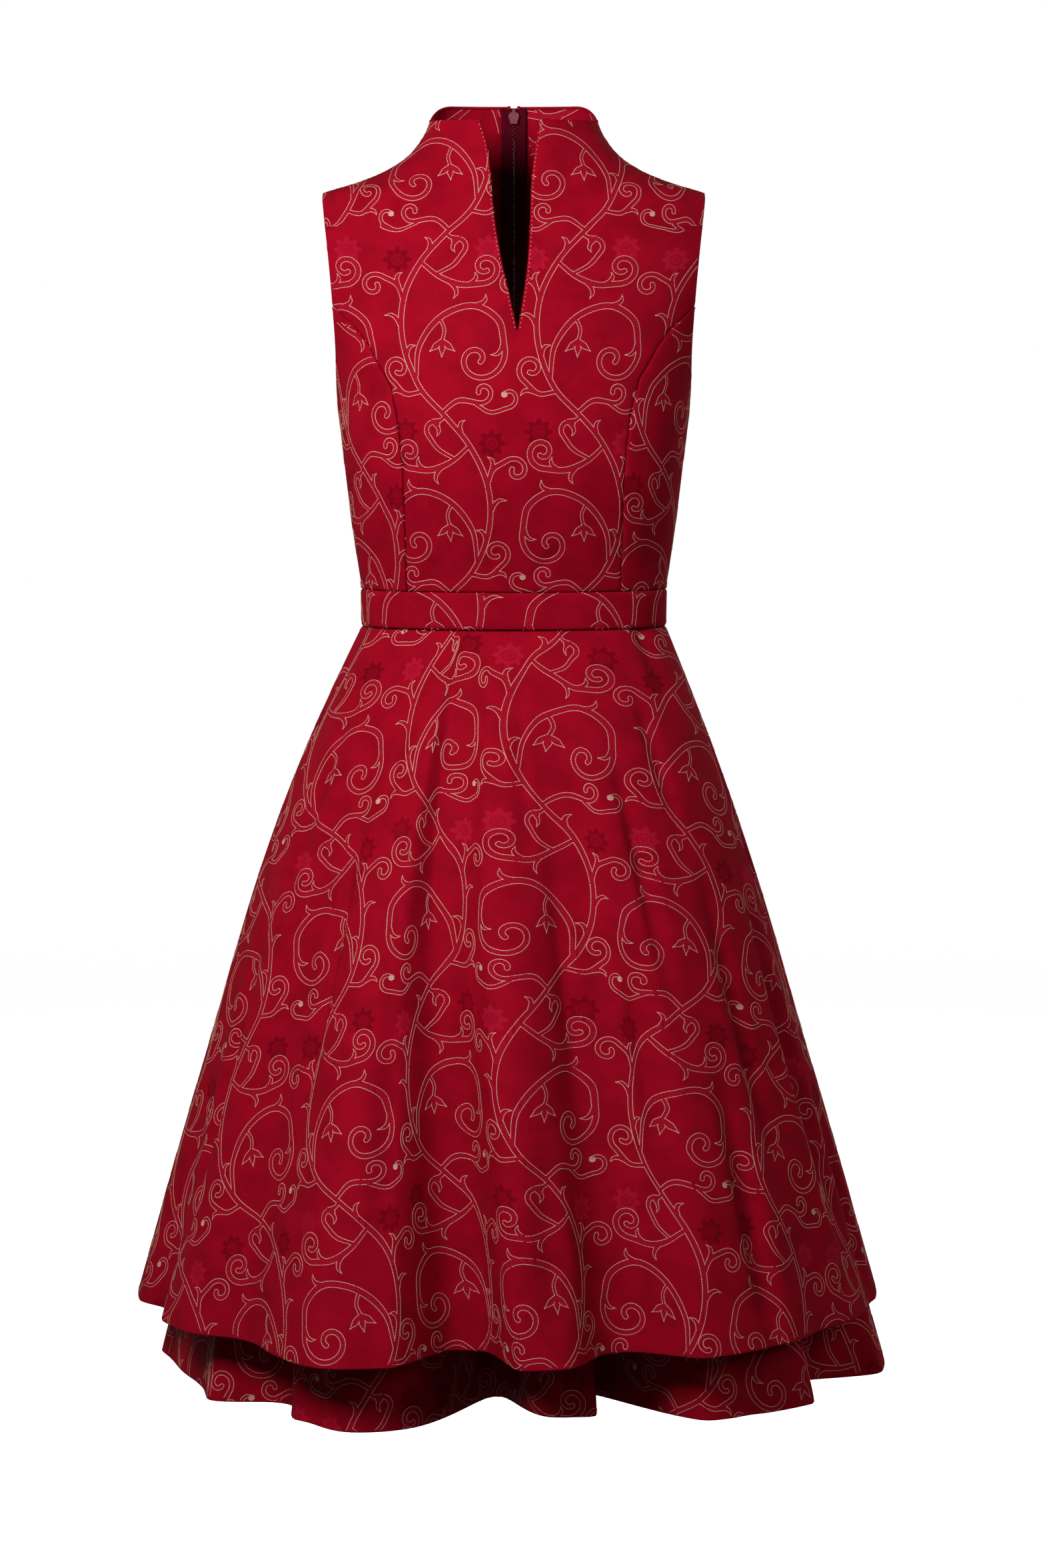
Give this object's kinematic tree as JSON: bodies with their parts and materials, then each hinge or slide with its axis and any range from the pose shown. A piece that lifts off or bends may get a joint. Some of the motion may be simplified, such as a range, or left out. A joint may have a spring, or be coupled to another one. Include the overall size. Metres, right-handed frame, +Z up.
{
  "type": "dirndl dress",
  "caption": "Sleeveless folk dress with stand collar, throat slit, fitted bodice, waistband, two-layer flared skirt and concealed back zip.",
  "frame": {"origin": "midway between the shoulder tips, where the wearer's shoulders hold the dress", "axes": "+Z up, front of the dress facing -Y, the wearer's left at +X"},
  "size_m": [0.6822, 0.6458, 1.1374],
  "materials": {
    "jacquard": "sateen jacquard with scroll outlines",
    "zip_tape": "ribbed tape",
    "lacquered_metal": "satin lacquer"
  },
  "bodies": {
    "dress": {"bodice_front": "jacquard", "bodice_side_left": "jacquard", "bodice_side_right": "jacquard", "bodice_back_left": "jacquard", "bodice_back_right": "jacquard", "waistband_front": "jacquard", "waistband_back_left": "jacquard", "waistband_back_right": "jacquard", "skirt_upper_front": "jacquard", "skirt_upper_back_left": "jacquard", "skirt_upper_back_right": "jacquard", "skirt_lower_front": "jacquard", "skirt_lower_back_left": "jacquard", "skirt_lower_back_right": "jacquard", "zip_tape_left": "zip_tape", "zip_tape_right": "zip_tape", "zip_slider": "lacquered_metal"},
    "pull_tab": {"zip_pull_tab": "lacquered_metal"}
  },
  "joints": [
    {"name": "pull_tab_hinge", "type": "hinge", "parent": "dress", "child": "pull_tab", "pos_m": [0, 0.0571, 0.0724], "axis": [1, 0, 0], "range_deg": [0, 150]}
  ]
}
